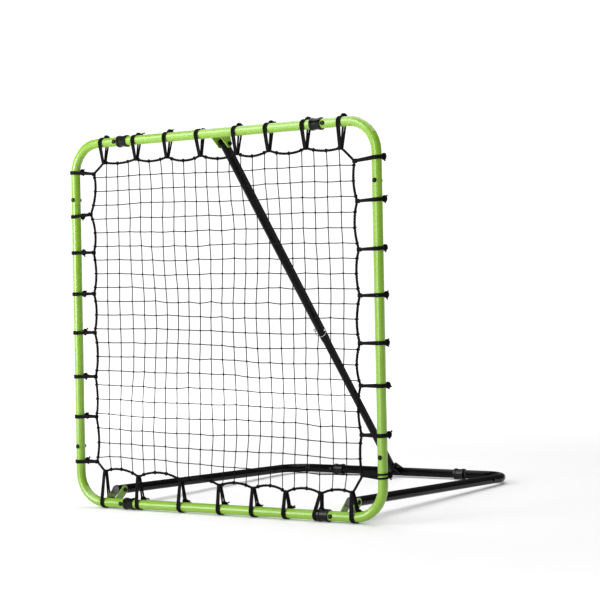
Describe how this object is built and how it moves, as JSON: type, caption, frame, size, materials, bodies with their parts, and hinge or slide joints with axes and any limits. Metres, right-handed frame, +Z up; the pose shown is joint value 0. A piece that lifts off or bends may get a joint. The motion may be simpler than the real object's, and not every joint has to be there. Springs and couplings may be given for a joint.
{
  "type": "pitch back rebounder",
  "caption": "Free-standing ball rebounder: a tied net in a square round-cornered tube frame that tilts on a U-shaped base, set by a telescoping strut with a lock pin.",
  "frame": {"origin": "on the floor, under the middle of the whole object's bounding box in its steepest setting", "axes": "+X to the right seen from the front of the net, +Y from the net towards the rear bar of the base, +Z up"},
  "size_m": [1.0054, 0.903, 1.0064],
  "materials": {
    "green_powder_coat": "glossy lime green powder coat on round steel tube",
    "black_powder_coat": "satin black powder coat on round steel tube",
    "black_plastic": "smooth glossy black plastic",
    "grey_plastic": "dull dark grey plastic",
    "black_zinc": "black zinc plated steel fasteners",
    "spring_steel": "bright plated steel",
    "border_cord": "black woven cord",
    "net_cord": "black knotted polyester net twine"
  },
  "bodies": {
    "base": {"left_arm": "black_powder_coat", "left_arm_bolt": "black_zinc", "left_arm_end_cap": "grey_plastic", "rear_bar": "black_powder_coat", "rear_left_bolt": "black_zinc", "rear_left_corner_tube": "black_powder_coat", "rear_left_sleeve": "black_plastic", "rear_right_bolt": "black_zinc", "rear_right_corner_tube": "black_powder_coat", "rear_right_sleeve": "black_plastic", "right_arm": "black_powder_coat", "right_arm_bolt": "black_zinc", "right_arm_end_cap": "grey_plastic", "strut_foot_bolt": "black_zinc", "strut_foot_nut": "black_zinc"},
    "net_frame": {"border_rope_and_ties": "border_cord", "bottom_rail": "green_powder_coat", "left_hinge_bolt": "black_zinc", "left_hinge_nut": "black_zinc", "left_side_tube": "green_powder_coat", "lower_left_corner_tube": "green_powder_coat", "lower_left_rail_bolt": "black_zinc", "lower_left_rail_sleeve": "black_plastic", "lower_left_side_bolt": "black_zinc", "lower_right_corner_tube": "green_powder_coat", "lower_right_rail_bolt": "black_zinc", "lower_right_rail_sleeve": "black_plastic", "lower_right_side_bolt": "black_zinc", "net_panel": "net_cord", "right_hinge_bolt": "black_zinc", "right_hinge_nut": "black_zinc", "right_side_tube": "green_powder_coat", "strut_top_bolt": "black_zinc", "strut_top_nut": "black_zinc", "top_rail": "green_powder_coat", "upper_left_corner_tube": "green_powder_coat", "upper_left_rail_bolt": "black_zinc", "upper_left_rail_sleeve": "black_plastic", "upper_left_side_bolt": "black_zinc", "upper_right_corner_tube": "green_powder_coat", "upper_right_rail_bolt": "black_zinc", "upper_right_rail_sleeve": "black_plastic", "upper_right_side_bolt": "black_zinc"},
    "strut_lower": {"strut_lower_tube": "black_powder_coat"},
    "strut_upper": {"strut_upper_tube": "black_powder_coat", "lock_pin_tip": "spring_steel"},
    "lock_pin": {"lock_pin": "spring_steel"},
    "lock_ring": {"lock_ring": "spring_steel"}
  },
  "joints": [
    {"name": "frame_tilt", "type": "hinge", "parent": "base", "child": "net_frame", "pos_m": [0, -0.39786, 0.04743], "axis": [-1, 0, 0], "range_deg": [0, 39.5]},
    {"name": "strut_swing", "type": "hinge", "parent": "base", "child": "strut_lower", "pos_m": [0, 0.39405, 0.03639], "axis": [-1, 0, 0], "range_deg": [0, 24.44]},
    {"name": "strut_telescope", "type": "slide", "parent": "strut_lower", "child": "strut_upper", "axis": [0, -0.6393, 0.769], "range_m": [-0.4758, 0]},
    {"name": "pin_pull", "type": "slide", "parent": "strut_upper", "child": "lock_pin", "axis": [-1, 0, 0], "range_m": [0, 0.025]},
    {"name": "ring_swing", "type": "hinge", "parent": "lock_pin", "child": "lock_ring", "pos_m": [-0.0192, 0.04378, 0.45772], "axis": [0, -0.2079, -0.9781], "range_deg": [0, 120]}
  ],
  "couplings": [
    {"joint": "strut_swing", "follows": "frame_tilt", "ratio": 0.61848},
    {"joint": "strut_telescope", "follows": "frame_tilt", "m_per_rad": -0.68941},
    {"joint": "ring_swing", "follows": "pin_pull", "rad_per_m": 83.33}
  ]
}
